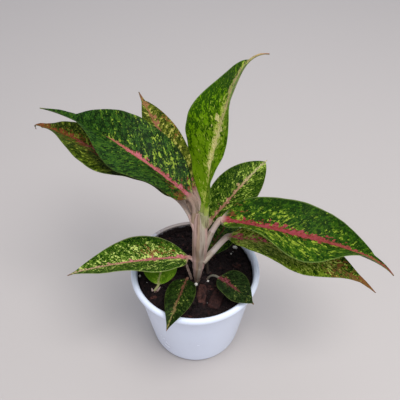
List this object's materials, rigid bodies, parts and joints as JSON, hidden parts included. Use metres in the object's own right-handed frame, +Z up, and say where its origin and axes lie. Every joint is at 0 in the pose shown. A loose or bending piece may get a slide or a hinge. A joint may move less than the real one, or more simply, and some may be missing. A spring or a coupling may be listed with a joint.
{
  "type": "potted chinese evergreen",
  "caption": "Potted foliage plant with broad speckled leaves and pink midribs on one short stem, in soil in a round plastic nursery pot.",
  "frame": {"origin": "centre of the pot's underside, on the surface that the pot stands on", "axes": "+Z up along the pot's axis; -Y towards the viewer of the picture; +X to the viewer's right, where the two long lower leaves point"},
  "size_m": [0.3471, 0.2036, 0.3362],
  "materials": {
    "pot_plastic": "smooth white moulded plastic with a soft gloss",
    "potting_soil": "moist, dark and crumbly, with fine bark",
    "bark": "rough reddish-brown bark",
    "perlite": "matt white mineral grains",
    "stem_tissue": "pale pink-cream, finely ribbed, slightly waxy",
    "leaf_dark": "glossy dark green with yellow-green speckles and a crimson midrib",
    "leaf_olive": "satin olive green, reddish towards the tip, with yellow-green speckles",
    "leaf_bright": "satin bright green with dense pale speckles",
    "leaf_plain": "satin plain yellow-green"
  },
  "bodies": {
    "root": {"pot": "pot_plastic", "soil": "potting_soil", "stem": "stem_tissue", "leaf_1": "leaf_dark", "leaf_2": "leaf_olive", "leaf_3": "leaf_olive", "leaf_4": "leaf_bright", "leaf_5": "leaf_dark", "leaf_6": "leaf_dark", "leaf_7": "leaf_olive", "leaf_8": "leaf_bright", "leaf_9": "leaf_dark", "leaf_10": "leaf_dark", "leaf_11": "leaf_plain", "leaf_12": "leaf_dark", "bark_chip_1": "bark", "bark_chip_2": "bark"}
  },
  "joints": []
}
